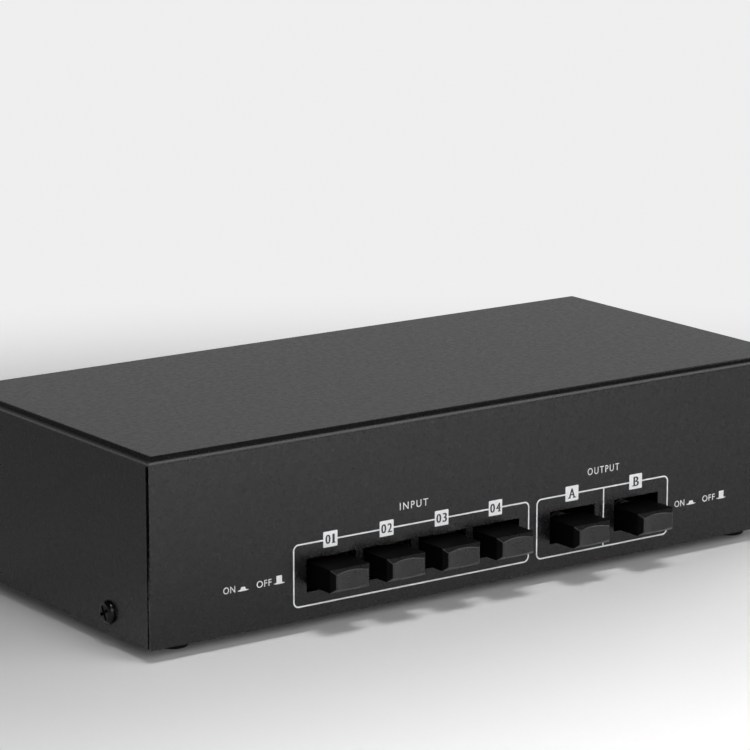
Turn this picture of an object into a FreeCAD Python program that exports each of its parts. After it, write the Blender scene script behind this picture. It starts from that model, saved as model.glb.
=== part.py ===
"""Speaker selector switch: a folded steel case, six push buttons in two banks, and 24 terminal posts.

Four interlocked buttons choose the input and two more switch the outputs. Each button drives a
plunger through its own switch. At the rear every input and output has four posts in two rows,
red above black. The origin is the bottom centre of the whole object, X runs along the front,
Y runs from the front to the rear and Z is up. Lengths are in millimetres.
"""

import FreeCAD, Part
import math
import os
import re

import Sketcher
from FreeCAD import Placement, Rotation, Vector

SIZES = {
    "lid_width": (240, "case width"),
    "lid_depth": (110, "case depth"),
    "lid_height": (55.5, "height of the lid from its lower edge"),
    "sheet": (1.0, "thickness of the steel sheet"),
    "bend": (2.4, "outer radius of the lid's bends"),
    "seam": (0.6, "open seam at the lid's front corners"),
    "slack": (0.3, "gap between the lid and the pan"),
    "rear_recess": (0.5, "rear panel behind the lid's rear edge"),
    "pan_lift": (0.5, "pan's underside above the lid's lower edge"),
    "side_flange": (12, "height of the pan's side flanges"),
    "front_flange": (5, "height of the pan's front flange"),
    "top_flange": (8, "depth of the flange on top of the rear panel"),
    "flange_end": (4.8, "from the top flange's end to the pan's side"),
    "foot_drop": (4, "how far the feet reach below the lid"),
    "foot_radius": (5, "radius of a foot at its top"),
    "foot_toe": (4.6, "radius of a foot at the floor"),
    "foot_inset": (15, "from the case's side to a foot's centre"),
    "foot_setback": (12.5, "from the case's front or rear to a foot's centre"),
    "foot_well": (2.7, "depth of the well in a foot for its screw's head"),
    "well_radius": (3.0, "radius of the well in a foot"),
    "front_setback": (22.5, "from the case's front to a side screw"),
    "rear_setback": (17.5, "from the case's rear to a side screw"),
    "screw_level": (6.1, "side screw above the lid's lower edge"),
    "screw_radius": (1.5, "shank radius of every screw"),
    "screw_play": (0.2, "radial play of a side screw in the lid"),
    "fit_play": (0.05, "radial play of a pin, stud or screw in its own hole"),
    "head_radius": (3.5, "head radius of a side screw"),
    "crown_radius": (2.5, "radius of the flat crown of a side screw"),
    "head_height": (1.7, "head height of a side screw"),
    "screw_length": (6, "shank length of a side screw"),
    "small_head": (2.75, "head radius of a foot or board screw"),
    "small_head_height": (1.5, "head height of a foot or board screw"),
    "short_screw": (4.8, "shank length of a foot or board screw"),
    "recess_span": (3.85, "span of a cross recess"),
    "recess_width": (0.9, "width of a cross recess"),
    "recess_depth": (1.1, "depth of a cross recess"),
    "opening_width": (17.4, "width of a button's opening"),
    "opening_height": (10.1, "height of a button's opening"),
    "opening_level": (13.2, "centre of the openings above the lid's lower edge"),
    "first_input": (-58.4, "first input button from the middle"),
    "input_pitch": (20, "from one input button to the next"),
    "first_output": (30.8, "first output button from the middle"),
    "output_pitch": (25, "from one output button to the next"),
    "cap_width": (14, "width of a button cap"),
    "cap_height": (7, "height of a button cap"),
    "cap_inset": (1.3, "inset of the cap's bevelled front"),
    "cap_bevel": (1.5, "length of the cap's bevelled front"),
    "cap_scoop": (22, "radius of the hollow in the cap's face"),
    "scoop_depth": (0.6, "depth of the hollow in the cap's face"),
    "cap_length": (14.5, "length of a button cap"),
    "button_reach": (10.75, "how far a button stands out of the front"),
    "button_travel": (6, "travel of a button"),
    "input_level": (13.15, "axis of the input buttons above the lid's lower edge"),
    "output_level": (12.0, "axis of the output buttons above the lid's lower edge"),
    "plunger_width": (4, "width of a plunger"),
    "plunger_height": (3, "height of a plunger"),
    "plunger_nose": (8.2, "how deep a plunger goes into its cap"),
    "plunger_rear": (45, "rear end of a plunger from the case's front"),
    "collar_side": (6.4, "side of the plunger's square collar"),
    "collar_depth": (1.2, "thickness of the plunger's collar"),
    "running_gap": (0.2, "play round a plunger"),
    "socket_gap": (0.05, "play of a plunger in its cap"),
    "housing_front": (17.2, "front of a switch housing from the case's front"),
    "housing_width": (12, "width of a switch housing"),
    "housing_length": (24, "length of a switch housing"),
    "housing_height": (11.8, "height of a switch housing"),
    "housing_drop": (5.9, "housing's underside below its plunger's axis"),
    "frame_sheet": (1.15, "thickness of the input switch frame"),
    "frame_rear": (47, "rear of the input switch frame from the case's front"),
    "frame_side": (11, "end of the frame from the axis of its last switch"),
    "frame_height": (13, "height of the frame's upright plates"),
    "window_gap": (0.5, "gap round a plunger in the frame, and above and below it in the bar"),
    "bar_thickness": (0.8, "thickness of the interlock bar"),
    "bar_height": (7, "height of the interlock bar"),
    "bar_place": (43, "interlock bar from the case's front"),
    "bar_travel": (1.5, "travel of the interlock bar"),
    "bar_overhang": (3, "how far the bar stands out of the frame"),
    "bar_end_gap": (0.4, "gap between a plunger and its window's end past the bar's travel"),
    "spring_radius": (3.3, "mean radius of a return spring"),
    "spring_wire": (0.5, "wire diameter of a return spring"),
    "spring_turns": (7, "turns of a return spring"),
    "board_width": (196, "width of the main board"),
    "board_depth": (84, "depth of the main board"),
    "board_front": (14, "front of the main board from the case's front"),
    "board_thickness": (1.6, "thickness of both boards"),
    "standoff_height": (3, "height of a standoff"),
    "standoff_radius": (3, "radius of a standoff"),
    "standoff_spigot": (2, "radius of a standoff's spigot in the pan"),
    "standoff_inset": (5, "from the main board's edges to a standoff"),
    "group_pitch": (35, "from one group of posts to the next"),
    "side_pitch": (16.5, "from the left posts of a group to its right posts"),
    "row_pitch": (19, "from a black post to the red post above it"),
    "lower_row": (18.5, "black posts above the lid's lower edge"),
    "post_radius": (5.25, "radius of a post's knob and collar"),
    "post_collar": (2.5, "thickness of a post's outer collar"),
    "spigot_radius": (4, "radius of the collar's spigot in the panel"),
    "washer_thickness": (1.5, "thickness of a post's inner washer"),
    "stud_radius": (2.5, "radius of a post's stud"),
    "stud_rear": (13.7, "stud's end behind the rear panel"),
    "stud_stub": (1, "stud's inner end past the terminal board"),
    "wire_hole": (1.1, "radius of the wire hole through a stud"),
    "wire_hole_place": (4.1, "wire hole behind the rear panel"),
    "nut_thickness": (2.5, "thickness of a post's nut"),
    "nut_radius": (4.6, "radius of a post's nut over its corners"),
    "knob_gap": (0.2, "gap between a closed knob and its collar"),
    "knob_length": (14.5, "length of a knob"),
    "knob_cap": (2.5, "thickness of a knob's closed end"),
    "knob_play": (0.07, "radial play of a knob on its stud"),
    "knob_edge": (0.6, "bevel round a knob's closed end"),
    "flute_radius": (0.9, "radius of a flute in a knob's grip"),
    "flute_ring": (5.6, "radius of the ring of flutes round a knob"),
    "flute_start": (3, "plain ring at the foot of a knob"),
    "terminal_board_width": (206, "width of the terminal board"),
    "terminal_board_height": (36, "height of the terminal board"),
    "connector_pitch": (28.7, "from one board connector to the next"),
    "connector_width": (22, "width of a board connector"),
    "connector_height": (8, "height of a board connector"),
    "connector_foot": (3.2, "depth of a connector's foot on the main board"),
}
INPUTS = ("input_1", "input_2", "input_3", "input_4")
OUTPUTS = ("output_a", "output_b")
UNITS = INPUTS + OUTPUTS
MIDDLE_UNIT = (len(UNITS) - 1) / 2
SIDES = ("left", "right")
COLOURS = ("black", "red")
FLUTES = 8

POST_REACH = "(post_collar + knob_gap + knob_length - rear_recess)"
FRONT = f"(button_reach / 2 - lid_depth / 2 - {POST_REACH} / 2)"
BASE = "foot_drop"
PAN_FLOOR = f"({BASE} + pan_lift + sheet)"
BOARD_TOP = f"({PAN_FLOOR} + standoff_height + board_thickness)"
PANEL_REAR = f"({FRONT} + lid_depth - rear_recess)"
PANEL_FRONT = f"({PANEL_REAR} - sheet)"
NUT_FRONT = f"({PANEL_FRONT} - washer_thickness - nut_thickness)"
TERMINAL_BOARD_FRONT = f"({NUT_FRONT} - board_thickness)"
SCREW_INSETS = ("front_setback", "lid_depth - rear_setback")
FOOT_INSETS = ("foot_setback", "lid_depth - foot_setback")

doc = FreeCAD.newDocument("speaker_selector_switch")
sheet = doc.addObject("Spreadsheet::Sheet", "Sizes")
for row, (alias, (number, meaning)) in enumerate(SIZES.items(), start=1):
    sheet.set(f"A{row}", meaning)
    sheet.set(f"B{row}", str(number))
    sheet.setAlias(f"B{row}", alias)
doc.recompute()

nodes = []


def value(alias):
    """Number in the sheet's cell with that alias."""
    return float(sheet.get(alias))


def cells(formula):
    """The formula with each word written as the sheet's cell of that name."""
    return re.sub(r"[a-z_]\w*", lambda word: "Sizes." + word.group(), formula)


def result(formula):
    """Number that a formula of the sheet's words gives."""
    return float(sheet.evalExpression(cells(formula)))


def bind(thing, prop, formula):
    """Drives a property with a formula of the sheet's words."""
    thing.setExpression(prop, cells(formula))


def place(thing, x, y, z):
    """Drives an object's position with three formulas."""
    for axis, formula in zip("xyz", (x, y, z)):
        bind(thing, f"Placement.Base.{axis}", formula)
    return thing


def node(thing, label):
    """Names a finished sub-part and keeps it for the export."""
    thing.Label = label
    nodes.append(thing)
    return thing


def block(x, y, z, size):
    """Box with its lowest corner at x, y, z and three formulas for its size."""
    thing = doc.addObject("Part::Box", "Block")
    for side, formula in zip(("Length", "Width", "Height"), size):
        bind(thing, side, formula)
    return place(thing, x, y, z)


def turned_to(thing, axis):
    """Turns an object that points along Z so that it points along the named axis."""
    turns = {
        "X": Rotation(Vector(0, 1, 0), 90),
        "-X": Rotation(Vector(0, 1, 0), -90),
        "Y": Rotation(Vector(1, 0, 0), -90),
        "Z": Rotation(),
    }
    thing.Placement = Placement(Vector(), turns[axis])
    return thing


def rod(x, y, z, radius, length, axis):
    """Cylinder whose first end is centred on x, y, z."""
    thing = turned_to(doc.addObject("Part::Cylinder", "Rod"), axis)
    bind(thing, "Radius", radius)
    bind(thing, "Height", length)
    return place(thing, x, y, z)


def taper(x, y, z, first_radius, last_radius, length, axis):
    """Cone frustum whose first end is centred on x, y, z."""
    thing = turned_to(doc.addObject("Part::Cone", "Taper"), axis)
    bind(thing, "Radius1", first_radius)
    bind(thing, "Radius2", last_radius)
    bind(thing, "Height", length)
    return place(thing, x, y, z)


def fused(*shapes):
    """One solid out of shapes that overlap or meet."""
    thing = doc.addObject("Part::MultiFuse", "Fused")
    thing.Shapes = list(shapes)
    thing.Refine = True
    return thing


def cut(base, *tools):
    """The base less every tool."""
    thing = doc.addObject("Part::Cut", "Cut")
    thing.Base = base
    thing.Tool = tools[0] if len(tools) == 1 else fused(*tools)
    return thing


def group(solids):
    """Separate solids that make one node."""
    thing = doc.addObject("Part::Compound", "Group")
    thing.Links = list(solids)
    return thing


def body_at(name, x, y, z):
    """Empty body whose own origin lies at a place in the object's frame."""
    return place(doc.addObject("PartDesign::Body", name), x, y, z)


def sketch_on(body, role, offset="0"):
    """Empty sketch on one of the body's own planes, moved along its normal."""
    plane = next(f for f in body.Origin.OriginFeatures if f.Role == role)
    sketch = body.newObject("Sketcher::SketchObject", "Sketch")
    sketch.AttachmentSupport = (plane, [""])
    sketch.MapMode = "FlatFace"
    bind(sketch, "AttachmentOffset.Base.z", offset)
    return sketch


def drive(sketch, kind, first, second, formula):
    """Dimension between two points of a sketch, driven by a formula."""
    index = sketch.addConstraint(Sketcher.Constraint(kind, *first, *second, result(formula)))
    name = f"size_{index}"
    sketch.renameConstraint(index, name)
    bind(sketch, f"Constraints.{name}", formula)


def rectangle(sketch, centre_x, centre_y, width, height):
    """Rectangle round a driven centre point."""
    x, y = result(centre_x), result(centre_y)
    corners = [Vector(x + i, y + j, 0) for i, j in ((-1, -1), (1, -1), (1, 1), (-1, 1))]
    first = sketch.GeometryCount
    for start, end in zip(corners, corners[1:] + corners[:1]):
        sketch.addGeometry(Part.LineSegment(start, end))
    for side in range(4):
        following = first + (side + 1) % 4
        sketch.addConstraint(Sketcher.Constraint("Coincident", first + side, 2, following, 1))
        level = "Horizontal" if side % 2 == 0 else "Vertical"
        sketch.addConstraint(Sketcher.Constraint(level, first + side))
    middle = sketch.addGeometry(Part.Point(Vector(x, y, 0)), True)
    opposite = (first, 1, first + 2, 1, middle, 1)
    sketch.addConstraint(Sketcher.Constraint("Symmetric", *opposite))
    drive(sketch, "DistanceX", (first, 1), (first, 2), width)
    drive(sketch, "DistanceY", (first + 1, 1), (first + 1, 2), height)
    drive(sketch, "DistanceX", (-1, 1), (middle, 1), centre_x)
    drive(sketch, "DistanceY", (-1, 1), (middle, 1), centre_y)


def circle(sketch, centre_x, centre_y, radius):
    """Circle with a driven centre and radius."""
    centre = Vector(result(centre_x), result(centre_y), 0)
    ring = sketch.addGeometry(Part.Circle(centre, Vector(0, 0, 1), result(radius)))
    index = sketch.addConstraint(Sketcher.Constraint("Radius", ring, result(radius)))
    sketch.renameConstraint(index, f"radius_{index}")
    bind(sketch, f"Constraints.radius_{index}", radius)
    drive(sketch, "DistanceX", (-1, 1), (ring, 3), centre_x)
    drive(sketch, "DistanceY", (-1, 1), (ring, 3), centre_y)


def pad(body, sketch, length):
    """Material added along the sketch's normal."""
    feature = body.newObject("PartDesign::Pad", "Pad")
    feature.Profile = sketch
    bind(feature, "Length", length)
    doc.recompute()
    return feature


def pocket(body, sketch, length=None, backwards=False):
    """Material taken away against the sketch's normal, or both ways through all."""
    before = body.Shape.Volume
    feature = body.newObject("PartDesign::Pocket", "Pocket")
    feature.Profile = sketch
    feature.Reversed = backwards
    if length:
        bind(feature, "Length", length)
    else:
        feature.Type = "ThroughAll"
        feature.Midplane = True
    doc.recompute()
    if body.Shape.Volume >= before - 1e-6:
        raise ValueError(f"a pocket in {body.Label} removes nothing")
    return feature


def edges_where(shape, wanted):
    """Names of the shape's edges that pass a test."""
    return [f"Edge{i}" for i, edge in enumerate(shape.Edges, start=1) if wanted(edge)]


def faces_where(shape, wanted):
    """Names of the shape's faces that pass a test."""
    return [f"Face{i}" for i, face in enumerate(shape.Faces, start=1) if wanted(face)]


def button_places():
    """Each button's name with the formulas of its X place and of its axis level."""
    for index, name in enumerate(INPUTS):
        yield name, f"first_input + {index} * input_pitch", "input_level"
    for index, name in enumerate(OUTPUTS):
        yield name, f"first_output + {index} * output_pitch", "output_level"


def post_places():
    """Each post's name and colour with the formulas of its X and Z place."""
    for number, unit in enumerate(UNITS):
        for side, side_name in enumerate(SIDES):
            x = f"({number} - {MIDDLE_UNIT}) * group_pitch + ({side} - 0.5) * side_pitch"
            for row_number, colour in enumerate(COLOURS):
                z = f"{BASE} + lower_row + {row_number} * row_pitch"
                yield f"{unit}_{side_name}_{colour}", colour, x, z


def make_lid():
    """Folded lid: top, front and sides in one sheet, open at the rear and below."""
    body = body_at("Lid", "0", FRONT, BASE)
    outline = sketch_on(body, "XY_Plane")
    rectangle(outline, "0", "lid_depth / 2", "lid_width", "lid_depth")
    solid = pad(body, outline, "lid_height")
    top, depth, half = value("lid_height"), value("lid_depth"), value("lid_width") / 2

    def is_bend(edge):
        ends = [vertex.Point for vertex in edge.Vertexes]
        at_top = all(abs(end.z - top) < 1e-6 for end in ends)
        front = all(abs(end.y) < 1e-6 for end in ends)
        side = abs(ends[0].x - ends[1].x) < 1e-6
        return at_top and (front or side)

    bends = body.newObject("PartDesign::Fillet", "Bends")
    bends.Base = (solid, edges_where(solid.Shape, is_bend))
    bind(bends, "Radius", "bend")
    doc.recompute()

    def is_open(face):
        middle = face.CenterOfMass
        return abs(middle.z) < 1e-6 or abs(middle.y - depth) < 1e-6

    shell = body.newObject("PartDesign::Thickness", "Shell")
    shell.Base = (bends, faces_where(bends.Shape, is_open))
    shell.Reversed = True
    shell.Join = 0
    bind(shell, "Value", "sheet")
    doc.recompute()

    windows = sketch_on(body, "XZ_Plane")
    for _, x, _ in button_places():
        rectangle(windows, x, "opening_level", "opening_width", "opening_height")
    pocket(body, windows, "2 * sheet")

    seams = sketch_on(body, "XY_Plane")
    for hand in ("-1", "1"):
        rectangle(seams, f"{hand} * (lid_width - sheet) / 2", "sheet + seam / 2", "2 * sheet", "seam")
    pocket(body, seams, "lid_height - bend", backwards=True)

    holes = sketch_on(body, "YZ_Plane")
    for inset in SCREW_INSETS:
        circle(holes, inset, "screw_level", "screw_radius + screw_play")
    pocket(body, holes)
    return node(body, "top_cover")


def make_pan():
    """Pan: floor, low front and side flanges, and the full rear panel with its top flange."""
    body = body_at("Pan", "0", FRONT, f"{BASE} + pan_lift")
    inner_width = "(lid_width - 2 * sheet - 2 * slack)"
    front, rear = "(sheet + slack)", "(lid_depth - rear_recess)"
    floor = sketch_on(body, "XY_Plane")
    rectangle(floor, "0", f"({front} + {rear}) / 2", inner_width, f"{rear} - {front}")
    pad(body, floor, "sheet")

    sides = sketch_on(body, "XY_Plane")
    for hand in ("-1", "1"):
        across = f"{hand} * ({inner_width} - sheet) / 2"
        rectangle(sides, across, f"({front} + {rear}) / 2", "sheet", f"{rear} - {front}")
    pad(body, sides, "side_flange")

    lip = sketch_on(body, "XY_Plane")
    rectangle(lip, "0", f"{front} + sheet / 2", inner_width, "sheet")
    pad(body, lip, "front_flange")

    panel_height = "(lid_height - pan_lift - sheet - slack)"
    panel = sketch_on(body, "XY_Plane")
    rectangle(panel, "0", f"{rear} - sheet / 2", inner_width, "sheet")
    pad(body, panel, panel_height)

    flange = sketch_on(body, "XY_Plane", f"{panel_height} - sheet")
    flange_width = f"{inner_width} - 2 * flange_end"
    rectangle(flange, "0", f"{rear} - top_flange / 2", flange_width, "top_flange")
    pad(body, flange, "sheet")

    floor_holes = sketch_on(body, "XY_Plane")
    for hand in ("-1", "1"):
        for inset in FOOT_INSETS:
            across = f"{hand} * (lid_width / 2 - foot_inset)"
            circle(floor_holes, across, inset, "screw_radius + fit_play")
        for along in ("standoff_inset", "board_depth - standoff_inset"):
            across = f"{hand} * (board_width / 2 - standoff_inset)"
            circle(floor_holes, across, f"board_front + {along}", "standoff_spigot + fit_play")
    pocket(body, floor_holes, "2 * sheet", backwards=True)

    side_holes = sketch_on(body, "YZ_Plane")
    for inset in SCREW_INSETS:
        circle(side_holes, inset, "screw_level - pan_lift", "screw_radius + fit_play")
    pocket(body, side_holes)

    post_holes = sketch_on(body, "XZ_Plane", f"-1 * {rear} + 2 * sheet")
    for _, _, x, z in post_places():
        circle(post_holes, x, f"{z} - {BASE} - pan_lift", "spigot_radius + fit_play")
    pocket(body, post_holes, "4 * sheet")
    return node(body, "base_pan")


def cross_recess(x, y, z, axis):
    """Two crossed blades for the recess in a screw head, the middle of its mouth at x, y, z."""
    blades = []
    for spans in (("recess_width", "recess_span"), ("recess_span", "recess_width")):
        size = (*spans, "2 * recess_depth") if axis == "Z" else ("2 * recess_depth", *spans)
        corner = (f"{middle} - ({side}) / 2" for middle, side in zip((x, y, z), size))
        blades.append(block(*corner, size))
    return blades


def make_cover_screws():
    """Four pan-head screws through the lid's sides into the pan's flanges."""
    screws = []
    for hand, outward, inward in ((-1, "-X", "X"), (1, "X", "-X")):
        for inset in SCREW_INSETS:
            face = f"{hand} * lid_width / 2"
            y, z = f"{FRONT} + {inset}", f"{BASE} + screw_level"
            rim = rod(face, y, z, "head_radius", "head_height / 2", outward)
            crown_at = f"{face} + {hand} * head_height / 2"
            crown = taper(crown_at, y, z, "head_radius", "crown_radius", "head_height / 2", outward)
            shank = rod(face, y, z, "screw_radius", "screw_length", inward)
            recess = cross_recess(f"{face} + {hand} * head_height", y, z, "X")
            screws.append(cut(fused(rim, crown, shank), *recess))
    return node(group(screws), "cover_screws")


def make_feet():
    """Four round rubber feet, each held by a screw from below."""
    feet, screws = [], []
    height = "foot_drop + pan_lift"
    for hand in (-1, 1):
        for inset in FOOT_INSETS:
            x, y = f"{hand} * (lid_width / 2 - foot_inset)", f"{FRONT} + {inset}"
            foot = taper(x, y, "0", "foot_toe", "foot_radius", height, "Z")
            well = rod(x, y, "0", "well_radius", "foot_well", "Z")
            through = rod(x, y, "0", "screw_radius + fit_play", height, "Z")
            feet.append(cut(foot, well, through))
            head_level = "foot_well - small_head_height"
            head = rod(x, y, head_level, "small_head", "small_head_height", "Z")
            shank = rod(x, y, "foot_well", "screw_radius", "short_screw", "Z")
            screws.append(cut(fused(head, shank), *cross_recess(x, y, head_level, "Z")))
    node(group(feet), "rubber_feet")
    node(group(screws), "foot_screws")


def make_main_board():
    """Main board on four standoffs, each with a screw from above."""
    front = f"({FRONT} + board_front)"
    underside = f"({PAN_FLOOR} + standoff_height)"
    size = ("board_width", "board_depth", "board_thickness")
    board = block("-1 * board_width / 2", front, underside, size)
    holes, standoffs, screws = [], [], []
    for hand in (-1, 1):
        for along in ("standoff_inset", "board_depth - standoff_inset"):
            x, y = f"{hand} * (board_width / 2 - standoff_inset)", f"{front} + {along}"
            holes.append(rod(x, y, underside, "screw_radius + fit_play", "board_thickness", "Z"))
            foot = f"{PAN_FLOOR} - sheet"
            pillar = rod(x, y, PAN_FLOOR, "standoff_radius", "standoff_height", "Z")
            spigot = rod(x, y, foot, "standoff_spigot", "sheet", "Z")
            thread = rod(x, y, foot, "screw_radius + fit_play", "standoff_height + sheet", "Z")
            standoffs.append(cut(fused(pillar, spigot), thread))
            head = rod(x, y, BOARD_TOP, "small_head", "small_head_height", "Z")
            shank = rod(x, y, f"{BOARD_TOP} - short_screw", "screw_radius", "short_screw", "Z")
            recess = cross_recess(x, y, f"{BOARD_TOP} + small_head_height", "Z")
            screws.append(cut(fused(head, shank), *recess))
    node(cut(board, *holes), "main_board")
    node(group(standoffs), "board_standoffs")
    node(group(screws), "board_screws")


def make_housings():
    """Switch housings, each with a slot for its plunger, in one group for each bank."""
    housings = {}
    for name, x, level in button_places():
        y, axis_z = f"{FRONT} + housing_front", f"{BASE} + {level}"
        size = ("housing_width", "housing_length", "housing_height")
        shell = block(f"{x} - housing_width / 2", y, f"{axis_z} - housing_drop", size)
        slot_width = "(plunger_width + 2 * running_gap)"
        slot_height = "(plunger_height + 2 * running_gap)"
        corner = (f"{x} - {slot_width} / 2", y, f"{axis_z} - {slot_height} / 2")
        slot = block(*corner, (slot_width, "housing_length", slot_height))
        housings[name] = cut(shell, slot)
    node(group(housings[name] for name in INPUTS), "input_switch_housings")
    node(group(housings[name] for name in OUTPUTS), "output_switch_housings")


def make_switch_frame():
    """Steel frame under and around the four input switches."""
    left = "(first_input - frame_side)"
    width = "(3 * input_pitch + 2 * frame_side)"
    front = f"({FRONT} + housing_front - frame_sheet)"
    depth = "(frame_rear - housing_front + frame_sheet)"
    floor_level = f"({BASE} + input_level - housing_drop - frame_sheet)"
    floor = block(left, front, floor_level, (width, depth, "frame_sheet"))
    upright = block(left, front, floor_level, (width, "frame_sheet", "frame_height"))
    ends, tools = [], []
    for end in (left, f"{left} + {width} - frame_sheet"):
        ends.append(block(end, front, floor_level, ("frame_sheet", depth, "frame_height")))
        slot_y = f"{FRONT} + bar_place - running_gap"
        slot_z = f"{BASE} + input_level - bar_height / 2 - running_gap"
        size = ("frame_sheet", "bar_thickness + 2 * running_gap", "bar_height + 2 * running_gap")
        tools.append(block(end, slot_y, slot_z, size))
    for index, _ in enumerate(INPUTS):
        x, z = f"first_input + {index} * input_pitch", f"{BASE} + input_level"
        size = ("plunger_width + 2 * window_gap", "frame_sheet", "plunger_height + 2 * window_gap")
        corner = (f"{x} - ({size[0]}) / 2", front, f"{z} - ({size[2]}) / 2")
        tools.append(block(*corner, size))
    node(cut(fused(floor, upright, *ends), *tools), "input_switch_frame")


def make_interlock_bar():
    """Flat bar across the four input plungers, with a window for each and room to slide."""
    left = "(first_input - frame_side - bar_overhang)"
    y, z = f"{FRONT} + bar_place", f"{BASE} + input_level"
    length = "3 * input_pitch + 2 * frame_side + 2 * bar_overhang"
    bar = block(left, y, f"{z} - bar_height / 2", (length, "bar_thickness", "bar_height"))
    windows = []
    for index, _ in enumerate(INPUTS):
        width = "(plunger_width + 2 * bar_travel + 2 * bar_end_gap)"
        height = "(plunger_height + 2 * window_gap)"
        corner = (f"first_input + {index} * input_pitch - {width} / 2", y, f"{z} - {height} / 2")
        windows.append(block(*corner, (width, "bar_thickness", height)))
    node(cut(bar, *windows), "interlock_bar")


def make_plunger(name, x, level):
    """Square nylon rod from the cap through the housing, with a collar for its spring."""
    z = f"{BASE} + {level}"
    cap_rear = "(cap_length - button_reach)"
    start = f"{FRONT} + {cap_rear} - plunger_nose"
    length = f"plunger_rear - {cap_rear} + plunger_nose"
    corner = (f"{x} - plunger_width / 2", start, f"{z} - plunger_height / 2")
    stem = block(*corner, ("plunger_width", length, "plunger_height"))
    corner = (f"{x} - collar_side / 2", f"{FRONT} + {cap_rear}", f"{z} - collar_side / 2")
    collar = block(*corner, ("collar_side", "collar_depth", "collar_side"))
    node(fused(stem, collar), f"{name}_plunger")


def make_cap(name, x, level):
    """Button cap: a block with a bevelled front, a hollow in its face and a socket behind."""
    body = body_at("Cap", x, f"{FRONT} - button_reach", f"{BASE} + {level}")
    face = sketch_on(body, "XZ_Plane")
    rectangle(face, "0", "0", "cap_width - 2 * cap_inset", "cap_height - 2 * cap_inset")
    shoulder = sketch_on(body, "XZ_Plane", "-1 * cap_bevel")
    rectangle(shoulder, "0", "0", "cap_width", "cap_height")
    bevel = body.newObject("PartDesign::AdditiveLoft", "Bevel")
    bevel.Profile = face
    bevel.Sections = [shoulder]
    doc.recompute()
    rear = sketch_on(body, "XZ_Plane", "-1 * cap_length")
    rectangle(rear, "0", "0", "cap_width", "cap_height")
    pad(body, rear, "cap_length - cap_bevel")

    hollow = sketch_on(body, "XY_Plane")
    circle(hollow, "0", "scoop_depth - cap_scoop", "cap_scoop")
    pocket(body, hollow)

    socket = sketch_on(body, "XZ_Plane", "-1 * cap_length")
    rectangle(socket, "0", "0", "plunger_width + 2 * socket_gap", "plunger_height + 2 * socket_gap")
    pocket(body, socket, "plunger_nose + 2 * socket_gap", backwards=True)
    node(body, f"{name}_cap")


def make_spring(name, x, level):
    """Return spring round the plunger, one wire of quarter-turn arcs between collar and switch."""
    thickness = value("frame_sheet") if name in INPUTS else 0.0
    wire, radius = value("spring_wire"), value("spring_radius")
    collar_face = value("cap_length") - value("button_reach") + value("collar_depth")
    length = value("housing_front") - thickness - collar_face - wire
    steps = int(4 * value("spring_turns"))
    if length - value("button_travel") <= value("spring_turns") * wire:
        raise ValueError(f"the spring of {name} is solid before its button's travel ends")

    def point(step):
        angle = step * math.pi / 2
        return Vector(radius * math.cos(angle), length * step / steps, radius * math.sin(angle))

    arcs = [Part.Arc(point(k), point(k + 0.5), point(k + 1)).toShape() for k in range(steps)]
    path = Part.Wire(arcs)
    section = Part.Wire(Part.Circle(point(0), path.Edges[0].tangentAt(0), wire / 2).toShape())
    spring = doc.addObject("Part::Feature", "Spring")
    spring.Shape = path.makePipeShell([section], True, False)
    place(spring, x, f"{FRONT} + {collar_face + wire / 2}", f"{BASE} + {level}")
    node(spring, f"{name}_spring")


def make_posts():
    """Terminal posts: studs, coloured insulators, nuts and a closed knob on each stud."""
    studs, nuts = [], []
    insulators = {colour: [] for colour in COLOURS}
    for name, colour, x, z in post_places():
        stud_front = f"({TERMINAL_BOARD_FRONT} - stud_stub)"
        stud = rod(x, stud_front, z, "stud_radius", f"{PANEL_REAR} + stud_rear - {stud_front}", "Y")
        hole_y = f"{PANEL_REAR} + wire_hole_place"
        hole = rod(x, hole_y, f"{z} - 2 * stud_radius", "wire_hole", "4 * stud_radius", "Z")
        studs.append(cut(stud, hole))

        collar = rod(x, PANEL_REAR, z, "post_radius", "post_collar", "Y")
        spigot = rod(x, PANEL_FRONT, z, "spigot_radius", "sheet", "Y")
        bore = rod(x, PANEL_FRONT, z, "stud_radius + fit_play", "sheet + post_collar", "Y")
        insulators[colour].append(cut(fused(collar, spigot), bore))
        washer_front = f"{PANEL_FRONT} - washer_thickness"
        washer = rod(x, washer_front, z, "post_radius", "washer_thickness", "Y")
        washer_bore = rod(x, washer_front, z, "stud_radius + fit_play", "washer_thickness", "Y")
        insulators[colour].append(cut(washer, washer_bore))

        nut = turned_to(doc.addObject("Part::Prism", "Nut"), "Y")
        nut.Polygon = 6
        bind(nut, "Circumradius", "nut_radius")
        bind(nut, "Height", "nut_thickness")
        place(nut, x, NUT_FRONT, z)
        nut_bore = rod(x, NUT_FRONT, z, "stud_radius + fit_play", "nut_thickness", "Y")
        nuts.append(cut(nut, nut_bore))
        make_knob(name, x, z)
    node(group(studs), "post_studs")
    node(group(nuts), "post_nuts")
    for colour in COLOURS:
        node(group(insulators[colour]), f"post_insulators_{colour}")


def make_knob(name, x, z):
    """Fluted clamping knob with a closed end, bored to run on its stud."""
    foot = f"({PANEL_REAR} + post_collar + knob_gap)"
    shoulder = f"{foot} + knob_length - knob_edge"
    barrel = rod(x, foot, z, "post_radius", "knob_length - knob_edge", "Y")
    tip = taper(x, shoulder, z, "post_radius", "post_radius - knob_edge", "knob_edge", "Y")
    tools = [rod(x, foot, z, "stud_radius + knob_play", "knob_length - knob_cap", "Y")]
    for number in range(FLUTES):
        angle = 2 * math.pi * (number + 0.5) / FLUTES
        across = f"{x} + {math.cos(angle):.5f} * flute_ring"
        up = f"{z} + {math.sin(angle):.5f} * flute_ring"
        tools.append(rod(across, f"{foot} + flute_start", up, "flute_radius", "knob_length", "Y"))
    node(cut(fused(barrel, tip), *tools), f"{name}_knob")


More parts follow.
